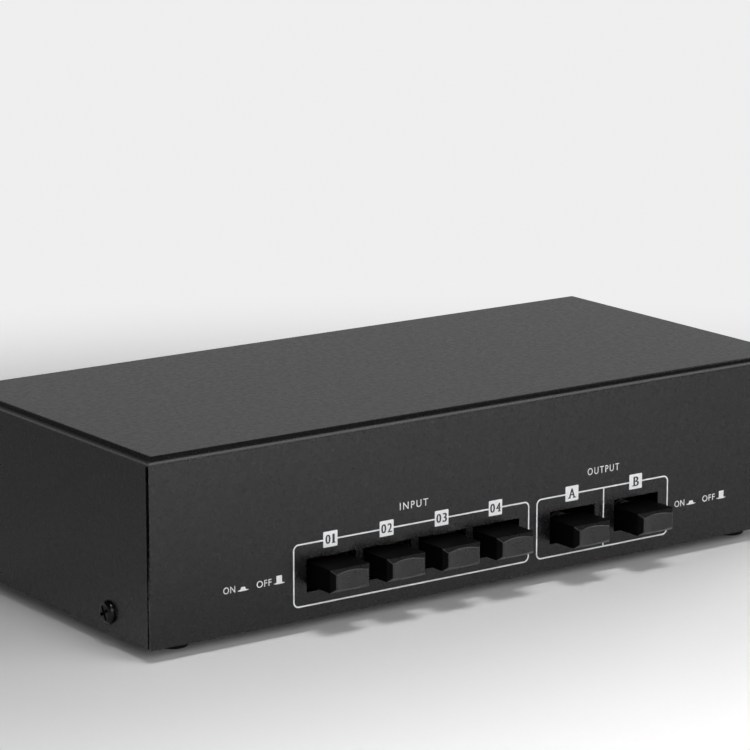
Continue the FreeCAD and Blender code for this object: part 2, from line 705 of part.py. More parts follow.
def make_terminal_board():
    """Upright board clamped behind the rear panel on the studs, and its connectors."""
    left = "-1 * terminal_board_width / 2"
    bottom = f"{BASE} + lower_row + row_pitch / 2 - terminal_board_height / 2"
    size = ("terminal_board_width", "board_thickness", "terminal_board_height")
    board = block(left, TERMINAL_BOARD_FRONT, bottom, size)
    holes = [
        rod(x, TERMINAL_BOARD_FRONT, z, "stud_radius + fit_play", "board_thickness", "Y")
        for _, _, x, z in post_places()
    ]
    node(cut(board, *holes), "terminal_board")
    connectors = []
    for number, _ in enumerate(UNITS):
        x = f"({number} - {MIDDLE_UNIT}) * connector_pitch - connector_width / 2"
        y = f"{TERMINAL_BOARD_FRONT} - connector_height"
        foot = block(x, y, BOARD_TOP, ("connector_width", "connector_foot", "connector_height"))
        level = f"{BOARD_TOP} + connector_height / 2"
        head = block(x, y, level, ("connector_width", "connector_height", "connector_height / 2"))
        connectors.append(fused(foot, head))
    node(group(connectors), "board_connectors")


def export():
    """Checks every object and writes each node's solids to its file."""
    doc.recompute()
    failed = [o.Label for o in doc.Objects if {"Invalid", "Error"} & set(o.State)]
    if failed:
        raise ValueError(f"objects that failed: {failed}")
    os.makedirs("parts", exist_ok=True)
    for thing in nodes:
        shape = thing.Shape
        if shape.isNull() or not shape.isValid() or not shape.Solids:
            raise ValueError(f"{thing.Label} has no valid solid")
        shape.exportStep(f"parts/{thing.Label}.step")
        bounds = shape.BoundBox
        print(f"{thing.Label:32s} {len(shape.Solids):3d} {shape.Volume:10.1f} mm3  z {bounds.ZMin:6.2f}")
    print(len(nodes), "nodes")


make_lid()
make_pan()
make_cover_screws()
make_feet()
make_main_board()
make_housings()
make_switch_frame()
make_interlock_bar()
for button, button_x, button_level in button_places():
    make_plunger(button, button_x, button_level)
    make_cap(button, button_x, button_level)
    make_spring(button, button_x, button_level)
make_posts()
make_terminal_board()
export()
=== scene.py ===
"""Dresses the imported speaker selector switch: finer shapes, finishes and printed marks round the fixed frame.

Lengths are in metres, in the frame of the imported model: X runs along the front, Y from the front
to the rear, Z is up, and the feet stand on Z = 0.
"""

import logging
import math
from collections.abc import Callable, Iterable, Iterator
from contextlib import contextmanager
from dataclasses import dataclass, field
from enum import Enum
from typing import Self

import bpy
from mathutils import Matrix, Vector


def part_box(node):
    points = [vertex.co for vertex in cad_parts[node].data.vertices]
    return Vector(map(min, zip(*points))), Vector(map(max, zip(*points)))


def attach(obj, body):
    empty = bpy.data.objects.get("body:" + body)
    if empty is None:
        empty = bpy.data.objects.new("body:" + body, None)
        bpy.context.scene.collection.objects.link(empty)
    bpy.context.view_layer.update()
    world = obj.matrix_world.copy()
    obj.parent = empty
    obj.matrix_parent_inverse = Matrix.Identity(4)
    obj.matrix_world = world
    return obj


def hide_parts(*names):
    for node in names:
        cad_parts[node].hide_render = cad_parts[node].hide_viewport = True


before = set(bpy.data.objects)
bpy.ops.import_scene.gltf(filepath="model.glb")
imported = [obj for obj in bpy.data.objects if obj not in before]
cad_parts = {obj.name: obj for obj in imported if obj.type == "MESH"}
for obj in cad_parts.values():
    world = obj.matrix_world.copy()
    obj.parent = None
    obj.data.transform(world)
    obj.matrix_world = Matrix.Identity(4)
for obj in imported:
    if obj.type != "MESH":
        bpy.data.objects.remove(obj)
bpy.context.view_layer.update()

MM = 0.001
CASE = "case"
INPUTS = ("input_1", "input_2", "input_3", "input_4")
OUTPUTS = ("output_a", "output_b")
UNITS = INPUTS + OUTPUTS
SIDES = ("left", "right")
COLOURS = ("black", "red")

Triple = tuple[float, float, float]
Colour = Triple
Spot = tuple[float, float]
FaceTest = Callable[[Vector, Vector], bool]
EdgeTest = Callable[[Vector, Vector], bool]
Socket = bpy.types.NodeSocket

log = logging.getLogger("speaker_selector")


class Facing(Enum):
    """Side of the case that a printed mark is read from."""

    FRONT = "front"
    REAR = "rear"


class Shader:
    """A material's node sheet, with short ways to add what the finishes share."""

    pattern_low = 0.3
    pattern_high = 0.7

    def __init__(self, name: str, colour: Colour, roughness: float, metallic: float = 0.0) -> None:
        """Starts a material with one plain surface.

        Args:
            name: the material's name.
            colour: linear red, green and blue of the surface.
            roughness: roughness of the surface.
            metallic: 1 for bare metal, 0 for anything else.
        """
        self.material = bpy.data.materials.new(name)
        self.material.use_nodes = True
        self.tree = self.material.node_tree
        self.surface = self.tree.nodes["Principled BSDF"]
        values = {"Base Color": (*colour, 1.0), "Roughness": roughness, "Metallic": metallic}
        self.preset(self.surface, values)
        self.place = self.add("ShaderNodeTexCoord").outputs["Object"]

    def add(self, kind: str, **settings: object) -> bpy.types.Node:
        """Adds a node and sets its plain properties."""
        node = self.tree.nodes.new(kind)
        for name, value in settings.items():
            setattr(node, name, value)
        return node

    @staticmethod
    def preset(node: bpy.types.Node, values: dict[str, object]) -> None:
        """Sets the constants on a node's own sockets."""
        for name, value in values.items():
            node.inputs[name].default_value = value

    def feed(self, source: Socket, target: Socket) -> None:
        """Links an output to an input."""
        self.tree.links.new(source, target)

    def noise(self, grain: float, detail: float = 2.0, stretch: Triple = (1, 1, 1)) -> Socket:
        """Cloudy grey pattern.

        Args:
            grain: size of its cells in metres.
            detail: how many finer octaves it has.
            stretch: factors on the grain along X, Y and Z.

        Returns:
            The pattern's value output, from 0 to 1.
        """
        mapping = self.add("ShaderNodeMapping")
        mapping.inputs["Scale"].default_value = [1 / (grain * factor) for factor in stretch]
        self.feed(self.place, mapping.inputs["Vector"])
        texture = self.add("ShaderNodeTexNoise")
        self.preset(texture, {"Scale": 1.0, "Detail": detail})
        self.feed(mapping.outputs["Vector"], texture.inputs["Vector"])
        return texture.outputs["Fac"]

    def span(self, source: Socket, low: float, high: float) -> Socket:
        """Spreads the middle of a pattern over the span from low to high."""
        spread = self.add("ShaderNodeMapRange")
        self.preset(spread, {"From Min": self.pattern_low, "From Max": self.pattern_high})
        self.preset(spread, {"To Min": low, "To Max": high})
        self.feed(source, spread.inputs["Value"])
        return spread.outputs["Result"]

    def shade(self, source: Socket, first: Colour, second: Colour) -> None:
        """Colours the surface from one colour to another by a pattern."""
        ramp = self.add("ShaderNodeMix", data_type="RGBA")
        self.preset(ramp, {"A": (*first, 1.0), "B": (*second, 1.0)})
        self.feed(self.span(source, 0.0, 1.0), ramp.inputs["Factor"])
        self.feed(ramp.outputs["Result"], self.surface.inputs["Base Color"])

    def roughen(self, source: Socket, low: float, high: float) -> None:
        """Varies the surface's roughness between two values by a pattern."""
        self.feed(self.span(source, low, high), self.surface.inputs["Roughness"])

    def emboss(self, heights: Iterable[tuple[Socket, float]]) -> None:
        """Raises the surface by patterns, each with its depth in metres."""
        normal = None
        for source, depth in heights:
            bump = self.add("ShaderNodeBump")
            self.preset(bump, {"Strength": 1.0, "Distance": depth})
            self.feed(source, bump.inputs["Height"])
            if normal:
                self.feed(normal, bump.inputs["Normal"])
            normal = bump.outputs["Normal"]
        self.feed(normal, self.surface.inputs["Normal"])


def scaled(colour: Colour, factor: float) -> Colour:
    """A colour made lighter or darker by a factor."""
    return tuple(min(1.0, part * factor) for part in colour)


@dataclass(frozen=True)
class PowderCoat:
    """Baked black paint with a fine even grain and a faint orange peel.

    Args:
        name: the material's name.
        colour: linear colour of the paint.
        roughness: middle of its roughness.
        gloss: how much it reflects, 0.5 for a plain paint.
        grain: size of the grain.
        peel: size of the orange peel.
        cloud: size of the clouds in its colour.
        height: how far the grain and the peel stand out.
    """

    name: str
    colour: Colour
    roughness: float = 0.27
    gloss: float = 0.44
    grain: float = 0.22 * MM
    peel: float = 1.6 * MM
    cloud: float = 18 * MM
    height: float = 0.003 * MM

    def material(self) -> bpy.types.Material:
        """Builds the paint's nodes."""
        shader = Shader(self.name, self.colour, self.roughness)
        shader.surface.inputs["Specular IOR Level"].default_value = self.gloss
        clouds = shader.noise(self.cloud, detail=3.0)
        shader.shade(clouds, scaled(self.colour, 0.93), scaled(self.colour, 1.07))
        shader.roughen(shader.noise(self.peel), self.roughness - 0.03, self.roughness + 0.03)
        grain = shader.noise(self.grain, detail=3.0)
        peel = shader.noise(self.peel, detail=1.0)
        shader.emboss(((peel, self.height), (grain, self.height)))
        return shader.material


@dataclass(frozen=True)
class MouldedPlastic:
    """Injection-moulded plastic with a spark-eroded texture.

    Args:
        name: the material's name.
        colour: linear colour of the plastic.
        roughness: middle of its roughness.
        gloss: how much it reflects, 0.5 for a plain plastic.
        texture: depth of the moulded texture in metres.
    """

    name: str
    colour: Colour
    roughness: float
    gloss: float = 0.5
    texture: float = 0.005 * MM
    grain: float = 0.16 * MM
    flow: float = 5 * MM

    def material(self) -> bpy.types.Material:
        """Builds the plastic's nodes."""
        shader = Shader(self.name, self.colour, self.roughness)
        shader.surface.inputs["Specular IOR Level"].default_value = self.gloss
        flow = shader.noise(self.flow, detail=3.0)
        shader.shade(flow, scaled(self.colour, 0.9), scaled(self.colour, 1.1))
        shader.roughen(shader.noise(self.grain * 4), self.roughness - 0.04, self.roughness + 0.04)
        shader.emboss(((shader.noise(self.grain, detail=2.0), self.texture),))
        return shader.material


@dataclass(frozen=True)
class PlatedMetal:
    """Plated metal with fine marks drawn out along one axis.

    Args:
        name: the material's name.
        colour: linear colour of the plating.
        roughness: middle of its roughness.
        drawn: factors on the marks' size along X, Y and Z.
    """

    name: str
    colour: Colour
    roughness: float
    drawn: Triple = (1, 1, 1)
    grain: float = 0.12 * MM

    def material(self) -> bpy.types.Material:
        """Builds the metal's nodes."""
        shader = Shader(self.name, self.colour, self.roughness, metallic=1.0)
        marks = shader.noise(self.grain, detail=3.0, stretch=self.drawn)
        shader.shade(shader.noise(4 * MM, detail=3.0), scaled(self.colour, 0.9), scaled(self.colour, 1.08))
        shader.roughen(marks, self.roughness - 0.08, self.roughness + 0.08)
        shader.emboss(((marks, 0.002 * MM),))
        return shader.material


@dataclass(frozen=True)
class Rubber:
    """Matt moulded rubber with a little dust in its grain."""

    name: str
    colour: Colour
    roughness: float = 0.82
    grain: float = 0.3 * MM

    def material(self) -> bpy.types.Material:
        """Builds the rubber's nodes."""
        shader = Shader(self.name, self.colour, self.roughness)
        shader.surface.inputs["Specular IOR Level"].default_value = 0.25
        grain = shader.noise(self.grain, detail=4.0)
        shader.shade(grain, self.colour, scaled(self.colour, 1.6))
        shader.roughen(shader.noise(2 * MM), self.roughness - 0.08, self.roughness + 0.06)
        shader.emboss(((grain, 0.02 * MM),))
        return shader.material


@dataclass(frozen=True)
class CircuitBoard:
    """Solder mask over copper tracks."""

    name: str
    mask: Colour
    track: Colour
    roughness: float = 0.3
    pitch: float = 5 * MM
    width: float = 0.8 * MM
    patch: float = 0.85
    track_height: float = 0.03 * MM
    weave_height: float = 0.004 * MM

    def material(self) -> bpy.types.Material:
        """Builds the board's nodes."""
        shader = Shader(self.name, self.mask, self.roughness)
        tracks = shader.add("ShaderNodeTexBrick")
        sizes = {"Brick Width": 3 * self.pitch, "Row Height": self.pitch, "Mortar Size": self.width}
        colours = {"Color1": self.mask, "Color2": scaled(self.mask, self.patch), "Mortar": self.track}
        shader.preset(tracks, {"Scale": 1.0, **sizes})
        shader.preset(tracks, {name: (*colour, 1.0) for name, colour in colours.items()})
        shader.feed(shader.place, tracks.inputs["Vector"])
        shader.feed(tracks.outputs["Color"], shader.surface.inputs["Base Color"])
        weave = shader.noise(0.6 * MM)
        shader.emboss(((tracks.outputs["Fac"], self.track_height), (weave, self.weave_height)))
        return shader.material


@dataclass(frozen=True)
class Ink:
    """Screen-printed ink, a little uneven where it lies on the grain of the paint."""

    name: str
    colour: Colour
    roughness: float = 0.42

    def material(self) -> bpy.types.Material:
        """Builds the ink's nodes."""
        shader = Shader(self.name, self.colour, self.roughness)
        grain = shader.noise(0.22 * MM, detail=3.0)
        shader.shade(grain, scaled(self.colour, 0.92), self.colour)
        shader.roughen(shader.noise(0.6 * MM), self.roughness - 0.05, self.roughness + 0.05)
        shader.emboss(((grain, 0.004 * MM),))
        return shader.material


class Workpiece:
    """A mesh that is shaped with modelling operators, as by hand."""

    letter_weld = 0.0005

    def __init__(self, thing: bpy.types.Object) -> None:
        """Takes an object to work on."""
        self.thing = thing

    @classmethod
    def _added(cls, name: str) -> Self:
        """Names the primitive that was just added and applies its place."""
        thing = bpy.context.active_object
        thing.name = thing.data.name = name
        bpy.ops.object.transform_apply(location=True, rotation=True, scale=True)
        return cls(thing)

    @classmethod
    def block(cls, name: str, low: Iterable[float], high: Iterable[float]) -> Self:
        """Box between two corners.

        Args:
            name: the object's name.
            low: its lowest corner.
            high: its highest corner.

        Returns:
            The new workpiece.
        """
        low, high = Vector(low), Vector(high)
        bpy.ops.object.select_all(action="DESELECT")
        bpy.ops.mesh.primitive_cube_add(size=1, location=(low + high) / 2, scale=high - low)
        return cls._added(name)

    @classmethod
    def rod(
        cls, name: str, start: Iterable[float], end: Iterable[float], radius: float, sides: int
    ) -> Self:
        """Round bar between two points.

        Args:
            name: the object's name.
            start: centre of its first end.
            end: centre of its last end.
            radius: its radius.
            sides: how many flats stand for its round side.

        Returns:
            The new workpiece.
        """
        start, end = Vector(start), Vector(end)
        along = end - start
        turn = along.to_track_quat("Z", "Y").to_euler()
        bpy.ops.object.select_all(action="DESELECT")
        bpy.ops.mesh.primitive_cylinder_add(
            vertices=sides, radius=radius, depth=along.length, location=(start + end) / 2, rotation=turn
        )
        return cls._added(name)

    @classmethod
    def lettering(cls, words: str, stress: float, tracking: float) -> Self:
        """Solid letters in the plane of X and Y, as a mesh of about 1 m a letter.

        Args:
            words: what they say.
            stress: how much wider their upright strokes are than in the plain face.
            tracking: factor on the space from one letter to the next.

        Returns:
            The new workpiece.
        """
        bpy.ops.object.select_all(action="DESELECT")
        bpy.ops.object.text_add()
        text = bpy.context.active_object.data
        text.body = words
        text.extrude = 0.5
        text.space_character = tracking
        text.resolution_u = 4
        bpy.ops.object.convert(target="MESH")
        letters = cls._added("letters").modify("WELD", merge_threshold=cls.letter_weld)
        if stress:
            letters.fuse(letters.copy("stress", Matrix.Translation((stress, 0, 0))))
        return letters

    def _activate(self) -> None:
        """Makes this object the active one, and the only one that is selected."""
        bpy.ops.object.select_all(action="DESELECT")
        self.thing.select_set(True)
        bpy.context.view_layer.objects.active = self.thing

    @contextmanager
    def _editing(self, mode: str, test: FaceTest | EdgeTest) -> Iterator[None]:
        """Edit mode with the faces or edges that pass the test selected.

        Args:
            mode: FACE to test each face's centre and normal, EDGE to test each edge's two ends.
            test: says whether an element is selected.
        """
        self._activate()
        bpy.ops.object.mode_set(mode="EDIT")
        bpy.ops.mesh.select_mode(type=mode)
        bpy.ops.mesh.select_all(action="DESELECT")
        bpy.ops.object.mode_set(mode="OBJECT")
        mesh = self.thing.data
        if mode == "FACE":
            for face in mesh.polygons:
                face.select = test(face.center, face.normal)
        else:
            for edge in mesh.edges:
                edge.select = test(*(mesh.vertices[index].co for index in edge.vertices))
        bpy.ops.object.mode_set(mode="EDIT")
        yield
        bpy.ops.object.mode_set(mode="OBJECT")

    def delete(self, test: FaceTest) -> Self:
        """Takes away the faces that pass the test."""
        with self._editing("FACE", test):
            bpy.ops.mesh.delete(type="FACE")
        return self

    def slice(self, test: FaceTest, point: Iterable[float], normal: Iterable[float]) -> Self:
        """Cuts the faces that pass the test along a plane."""
        with self._editing("FACE", test):
            bpy.ops.mesh.bisect(plane_co=tuple(point), plane_no=tuple(normal))
        return self

    def round_edges(self, test: EdgeTest, radius: float, steps: int) -> Self:
        """Rounds the edges that pass the test."""
        with self._editing("EDGE", test):
            bpy.ops.mesh.bevel(offset=radius, segments=steps, profile=0.5, affect="EDGES")
        return self

    def pull(self, test: FaceTest, shift: Iterable[float], size: Iterable[float] = (1, 1, 1)) -> Self:
        """Extrudes the faces that pass the test and scales what was pulled out about its middle.

        Args:
            test: picks the faces.
            shift: how far they are pulled.
            size: factors on their size.

        Returns:
            This workpiece.
        """
        with self._editing("FACE", test):
            bpy.ops.mesh.extrude_region_move(TRANSFORM_OT_translate={"value": tuple(shift)})
            bpy.ops.transform.resize(value=tuple(size))
        return self

    def taper(self, test: FaceTest, size: Iterable[float]) -> Self:
        """Scales the faces that pass the test about their middle, and what they bound follows."""
        with self._editing("FACE", test):
            bpy.ops.transform.resize(value=tuple(size))
        return self

    def inset(self, test: FaceTest, border: float, depth: float = 0.0) -> Self:
        """Insets the faces that pass the test, and sinks them by the depth."""
        with self._editing("FACE", test):
            bpy.ops.mesh.inset(thickness=border, depth=-depth)
        return self

    def modify(self, kind: str, **settings: object) -> Self:
        """Adds a modifier with its settings and applies it."""
        self._activate()
        modifier = self.thing.modifiers.new(kind.title(), kind)
        for name, value in settings.items():
            setattr(modifier, name, value)
        bpy.ops.object.modifier_apply(modifier=modifier.name)
        return self

    def _combine(self, operation: str, tool: Self) -> Self:
        """Adds or cuts away another workpiece and throws it away."""
        self.modify("BOOLEAN", operation=operation, solver="EXACT", object=tool.thing)
        bpy.data.objects.remove(tool.thing)
        return self

    def carve(self, tool: Self) -> Self:
        """Cuts another workpiece out of this one."""
        return self._combine("DIFFERENCE", tool)

    def fuse(self, tool: Self) -> Self:
        """Makes this workpiece one solid with another."""
        return self._combine("UNION", tool)

    def soften(self, radius: float, steps: int = 2, angle: float = 32) -> Self:
        """Rounds every sharp edge a little, and shades smooth with the large faces kept flat."""
        self.modify(
            "BEVEL", width=radius, segments=steps, limit_method="ANGLE", angle_limit=math.radians(angle)
        )
        return self.smooth(angle).modify("WEIGHTED_NORMAL", keep_sharp=True)

    def smooth(self, angle: float = 32) -> Self:
        """Shades smooth all but the edges sharper than an angle in degrees."""
        self._activate()
        bpy.ops.object.shade_smooth_by_angle(angle=math.radians(angle))
        return self

    def copy(self, name: str, move: Matrix) -> Self:
        """Copy with its own mesh, moved by a matrix.

        Args:
            name: the copy's name.
            move: where its mesh goes.

        Returns:
            The copy.
        """
        thing = self.thing.copy()
        thing.data = self.thing.data.copy()
        thing.name = thing.data.name = name
        thing.data.transform(move)
        bpy.context.scene.collection.objects.link(thing)
        return Workpiece(thing)

    def shift(self, move: Matrix) -> Self:
        """Moves its mesh by a matrix."""
        self.thing.data.transform(move)
        return self

    def join(self, others: Iterable[Self]) -> Self:
        """Takes other workpieces into this object."""
        self._activate()
        for other in others:
            other.thing.select_set(True)
        bpy.ops.object.join()
        return self

    def deliver(
        self, finish: bpy.types.Material, body: str, slot: str, replaced: Iterable[str] = ()
    ) -> bpy.types.Object:
        """Gives the finished piece its material and body.

        Args:
            finish: its material.
            body: the body that it rides on.
            slot: the material slot of its finish; not used.
            replaced: the nodes that it stands for.

        Returns:
            The piece's object.
        """
        self.thing.data.materials.clear()
        self.thing.data.materials.append(finish)
        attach(self.thing, body)
        if replaced:
            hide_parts(*replaced)
        log.info("%s: %d faces on %s", self.thing.name, len(self.thing.data.polygons), body)
        return self.thing

    def refinish(self, test: FaceTest, finish: bpy.types.Material) -> None:
        """Gives the faces of a delivered piece that pass the test another finish."""
        self.thing.data.materials.append(finish)
        for face in self.thing.data.polygons:
            if test(face.center, face.normal):
                face.material_index = 1


def near(first: float, second: float, slack: float = 0.02 * MM) -> bool:
    """Whether two lengths are the same for a modeller."""
    return abs(first - second) < slack


def centre_of(node: str) -> Vector:
    """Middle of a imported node's box."""
    return sum(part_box(node), Vector()) / 2


Finish = PowderCoat | MouldedPlastic | PlatedMetal | Rubber | CircuitBoard | Ink
FINISHES: dict[str, Finish] = {
    "lid": PowderCoat("lid_powder_coat", (0.0045, 0.0045, 0.0047)),
    "pan": PowderCoat("pan_powder_coat", (0.0055, 0.0055, 0.0057), roughness=0.34),
    "cap": MouldedPlastic("cap_plastic", (0.009, 0.009, 0.0092), roughness=0.3),
    # painted shade: near-black, dull plastic laid on the caps' flanks and tops so that they read as shaded
    "cap_painted_shade": MouldedPlastic("cap_painted_shade_plastic", (0.001, 0.001, 0.001), 0.6, gloss=0.06),
    "black": MouldedPlastic("post_black_plastic", (0.008, 0.008, 0.008), roughness=0.22),
    "red": MouldedPlastic("post_red_plastic", (0.42, 0.008, 0.006), roughness=0.22),
    "switch": MouldedPlastic("switch_plastic", (0.015, 0.015, 0.016), roughness=0.4),
    "nylon": MouldedPlastic("plunger_nylon", (0.012, 0.012, 0.012), roughness=0.45),
    "connector": MouldedPlastic("connector_plastic", (0.6, 0.58, 0.5), roughness=0.4),
    "black_screw": PlatedMetal("black_oxide", (0.028, 0.028, 0.03), roughness=0.24),
    "zinc": PlatedMetal("zinc_plate", (0.6, 0.61, 0.62), roughness=0.34),
    "nickel": PlatedMetal("nickel_plate", (0.68, 0.66, 0.62), roughness=0.2, drawn=(1, 8, 1)),
    "brass": PlatedMetal("turned_brass", (0.7, 0.5, 0.22), roughness=0.3, drawn=(8, 8, 1)),
    "stamped": PlatedMetal("stamped_steel", (0.58, 0.58, 0.57), roughness=0.38, drawn=(10, 1, 1)),
    "wire": PlatedMetal("spring_wire", (0.06, 0.06, 0.062), roughness=0.4),
    "rubber": Rubber("foot_rubber", (0.004, 0.004, 0.004)),
    "board": CircuitBoard("circuit_board", (0.012, 0.1, 0.035), (0.03, 0.19, 0.07)),
    "ink": Ink("white_ink", (0.78, 0.79, 0.8)),
    "tag_ink": Ink("tag_ink", (0.86, 0.87, 0.88)),
    "knockout": Ink("knocked_out_paint", (0.012, 0.012, 0.012)),
}


@dataclass
class Paints:
    """Every finish on the object, each built once."""

    built: dict[str, bpy.types.Material] = field(default_factory=dict)

    def get(self, name: str) -> bpy.types.Material:
        """The material of a finish, built the first time that it is asked for."""
        if name not in self.built:
            self.built[name] = FINISHES[name].material()
        return self.built[name]


@dataclass
class Lid:
    """Folded top cover: top, front and sides, with six openings and open seams at the corners."""

    sheet: float = 1.0 * MM
    bend: float = 2.4 * MM
    bend_steps: int = 10
    seam: float = 0.6 * MM
    edge: float = 0.14 * MM
    opening_width: float = 17.4 * MM
    opening_height: float = 10.1 * MM
    opening_level: float = 13.2 * MM

    def build(self, paints: Paints) -> None:
        """Folds the sheet, cuts its openings and seams, and paints it."""
        low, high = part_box("top_cover")
        lid = Workpiece.block("lid", low, high)
        lid.delete(lambda centre, normal: normal.z < -0.5 or normal.y > 0.5)

        def is_bend(start: Vector, end: Vector) -> bool:
            """Edge that the sheet is folded along."""
            at_top = near(start.z, high.z) and near(end.z, high.z)
            at_front = near(start.y, low.y) and near(end.y, low.y)
            return at_top and (at_front or near(start.x, end.x))

        lid.round_edges(is_bend, self.bend, self.bend_steps)
        self._cut_openings(lid, low)
        self._cut_seams(lid, low, high)
        wall = {"thickness": self.sheet, "offset": -1, "use_even_offset": True, "use_quality_normals": True}
        lid.modify("SOLIDIFY", **wall)
        lid.soften(self.edge)
        lid.deliver(paints.get("lid"), CASE, "lid_paint", ["top_cover"])

    def _cut_openings(self, lid: Workpiece, low: Vector) -> None:
        """Cuts an opening in the front round each button."""
        centres = [sum(corner.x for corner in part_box(f"{unit}_cap")) / 2 for unit in UNITS]
        half = self.opening_width / 2
        level = low.z + self.opening_level
        lowest, highest = level - self.opening_height / 2, level + self.opening_height / 2

        def is_front(centre: Vector, normal: Vector) -> bool:
            """Face of the front."""
            return normal.y < -0.99 and near(centre.y, low.y)

        def is_opening(centre: Vector, normal: Vector) -> bool:
            """Face of the front inside an opening."""
            inside = any(abs(centre.x - x) < half for x in centres)
            return is_front(centre, normal) and lowest < centre.z < highest and inside

        for height in (lowest, highest):
            lid.slice(is_front, (0, low.y, height), (0, 0, 1))
        for x in centres:
            for edge in (x - half, x + half):
                lid.slice(is_front, (edge, low.y, 0), (1, 0, 0))
        lid.delete(is_opening)

    def _cut_seams(self, lid: Workpiece, low: Vector, high: Vector) -> None:
        """Opens the upright corners between the front and the sides."""
        gap_end = low.y + self.sheet + self.seam

        def is_side(centre: Vector, normal: Vector) -> bool:
            """Face of a side below the bend."""
            return abs(normal.x) > 0.99 and centre.z < high.z - self.bend

        lid.slice(is_side, (0, gap_end, 0), (0, 1, 0))
        lid.delete(lambda centre, normal: is_side(centre, normal) and centre.y < gap_end)


@dataclass
class SideScrews:
    """Four black pan-head screws with cross recesses in the sides of the lid."""

    sides: int = 48
    head_radius: float = 3.5 * MM
    head_height: float = 1.7 * MM
    shank_radius: float = 1.5 * MM
    length: float = 6 * MM
    level: float = 6.1 * MM
    front_setback: float = 22.5 * MM
    rear_setback: float = 17.5 * MM
    blade: float = 0.95 * MM
    recess: float = 1.2 * MM
    recess_span: float = 0.62
    crown: float = 0.9
    first_turn: float = 0.5
    next_turn: float = 0.6

    def build(self, paints: Paints) -> None:
        """Turns one screw and copies it to the four places."""
        low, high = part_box("top_cover")
        screw = self._screw()
        depth_places = (low.y + self.front_setback, high.y - self.rear_setback)
        screws = []
        for face, turn in ((low.x, -math.pi / 2), (high.x, math.pi / 2)):
            for number, y in enumerate(depth_places):
                place = Matrix.Translation((face, y, low.z + self.level))
                slot = self.first_turn + self.next_turn * number
                spin = Matrix.Rotation(turn, 4, "Y") @ Matrix.Rotation(slot, 4, "Z")
                screws.append(screw.copy("cover_screw_heads", place @ spin))
        bpy.data.objects.remove(screw.thing)
        screws[0].join(screws[1:])
        screws[0].deliver(paints.get("black_screw"), CASE, "screw_black", ["cover_screws"])

    def _screw(self) -> Workpiece:
        """One screw whose head stands on the plane of X and Y."""
        top = self.head_height
        screw = Workpiece.rod("screw", (0, 0, 0), (0, 0, top), self.head_radius, self.sides)
        screw.round_edges(lambda a, b: near(a.z, top) and near(b.z, top), self.crown * top, 8)

        def is_foot(centre: Vector, normal: Vector) -> bool:
            """Face of the head's underside."""
            return normal.z < -0.5 and near(centre.z, 0)

        screw.inset(is_foot, self.head_radius - self.shank_radius)
        screw.pull(lambda c, n: is_foot(c, n) and c.xy.length < 0.1 * MM, (0, 0, -self.length))
        arm = self.recess_span * self.head_radius
        for wide, narrow in ((arm, self.blade / 2), (self.blade / 2, arm)):
            bottom = top - self.recess
            blade = Workpiece.block("blade", (-wide, -narrow, bottom), (wide, narrow, top + MM))
            blade.pull(lambda c, n: n.z < -0.5, (0, 0, -0.5 * self.recess), (0.4, 0.4, 1))
            screw.carve(blade)
        return screw.smooth(40)


@dataclass
class Feet:
    """Four round rubber feet with a counterbore for the screw that holds them."""

    sides: int = 64
    toe_round: float = 0.7 * MM
    bore: float = 2.99 * MM
    bore_depth: float = 2.7 * MM
    inset: float = 15 * MM
    setback: float = 12.5 * MM
    radius: float = 4.98 * MM
    flare: float = 1.08

    def build(self, paints: Paints) -> None:
        """Moulds one foot and copies it to the four corners."""
        low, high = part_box("top_cover")
        bottom, top = (corner.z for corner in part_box("rubber_feet"))
        toe = self.radius / self.flare
        foot = Workpiece.rod("foot", (0, 0, bottom), (0, 0, top), toe, self.sides)
        foot.taper(lambda c, n: n.z > 0.5, (self.flare, self.flare, 1))
        foot.round_edges(lambda a, b: near(a.z, bottom) and near(b.z, bottom), self.toe_round, 6)

        def underside(centre: Vector, normal: Vector) -> bool:
            """Face that stands on the floor."""
            return normal.z < -0.999 and near(centre.z, bottom)

        foot.inset(underside, toe - self.toe_round - self.bore)
        foot.pull(lambda c, n: underside(c, n) and c.xy.length < 0.1 * MM, (0, 0, self.bore_depth))
        foot.smooth(35)
        feet = []
        for x in (low.x + self.inset, high.x - self.inset):
            for y in (low.y + self.setback, high.y - self.setback):
                feet.append(foot.copy("feet", Matrix.Translation((x, y, 0))))
        bpy.data.objects.remove(foot.thing)
        feet[0].join(feet[1:])
        feet[0].deliver(paints.get("rubber"), CASE, "foot_rubber", ["rubber_feet"])


